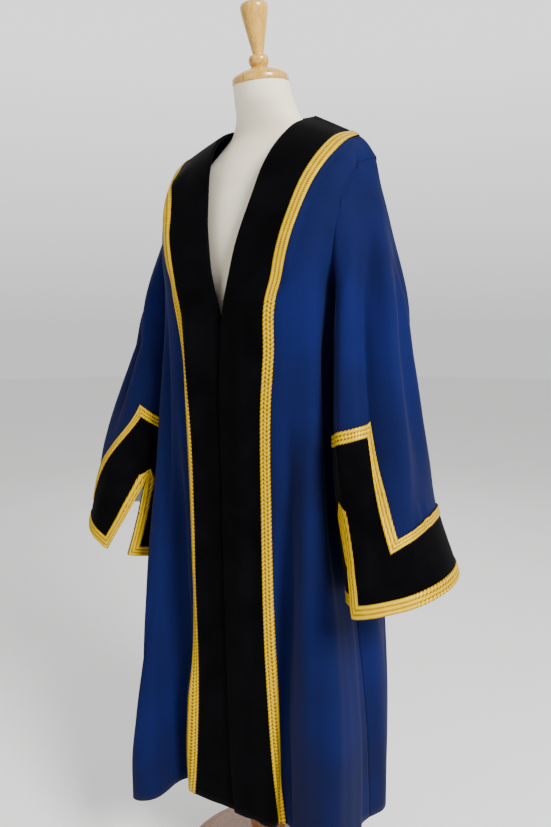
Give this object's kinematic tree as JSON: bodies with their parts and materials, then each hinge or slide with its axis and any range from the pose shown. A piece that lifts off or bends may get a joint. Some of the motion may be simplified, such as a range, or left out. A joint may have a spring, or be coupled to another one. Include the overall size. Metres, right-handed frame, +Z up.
{
  "type": "mayoral robe on a dress form with a wooden stand",
  "caption": "Long open ceremonial robe in blue cloth with velvet facings and cuffs and gold braid, hanging on a limbless dress form with a turned wooden stand.",
  "frame": {"origin": "on the floor, under the middle of the stand's post", "axes": "+Z up, the robe faces -Y, the wearer's left side is +X"},
  "size_m": [0.7672, 0.3767, 1.6829],
  "materials": {
    "blue_cloth": "matte wool cloth",
    "black_velvet": "velvet pile",
    "gold_braid": "satin woven braid",
    "grey_lining": "satin lining",
    "form_cover": "matte jersey cover",
    "beech": "gloss varnish",
    "stained_wood": "satin varnish"
  },
  "bodies": {
    "root": {"front_left": "blue_cloth", "front_right": "blue_cloth", "back_panel": "blue_cloth", "sleeve_left": "blue_cloth", "sleeve_right": "blue_cloth", "facing_left": "black_velvet", "facing_right": "black_velvet", "collar_back": "black_velvet", "cuff_left": "black_velvet", "cuff_right": "black_velvet", "braid_facing_left": "gold_braid", "braid_facing_right": "gold_braid", "braid_collar_back": "gold_braid", "braid_cuff_top_left": "gold_braid", "braid_cuff_top_right": "gold_braid", "braid_cuff_hem_left": "gold_braid", "braid_cuff_hem_right": "gold_braid", "lining_left": "grey_lining", "lining_right": "grey_lining", "form_torso": "form_cover", "neck_cap": "beech", "finial": "beech", "stand_post": "stained_wood", "stand_base": "stained_wood"}
  },
  "joints": []
}
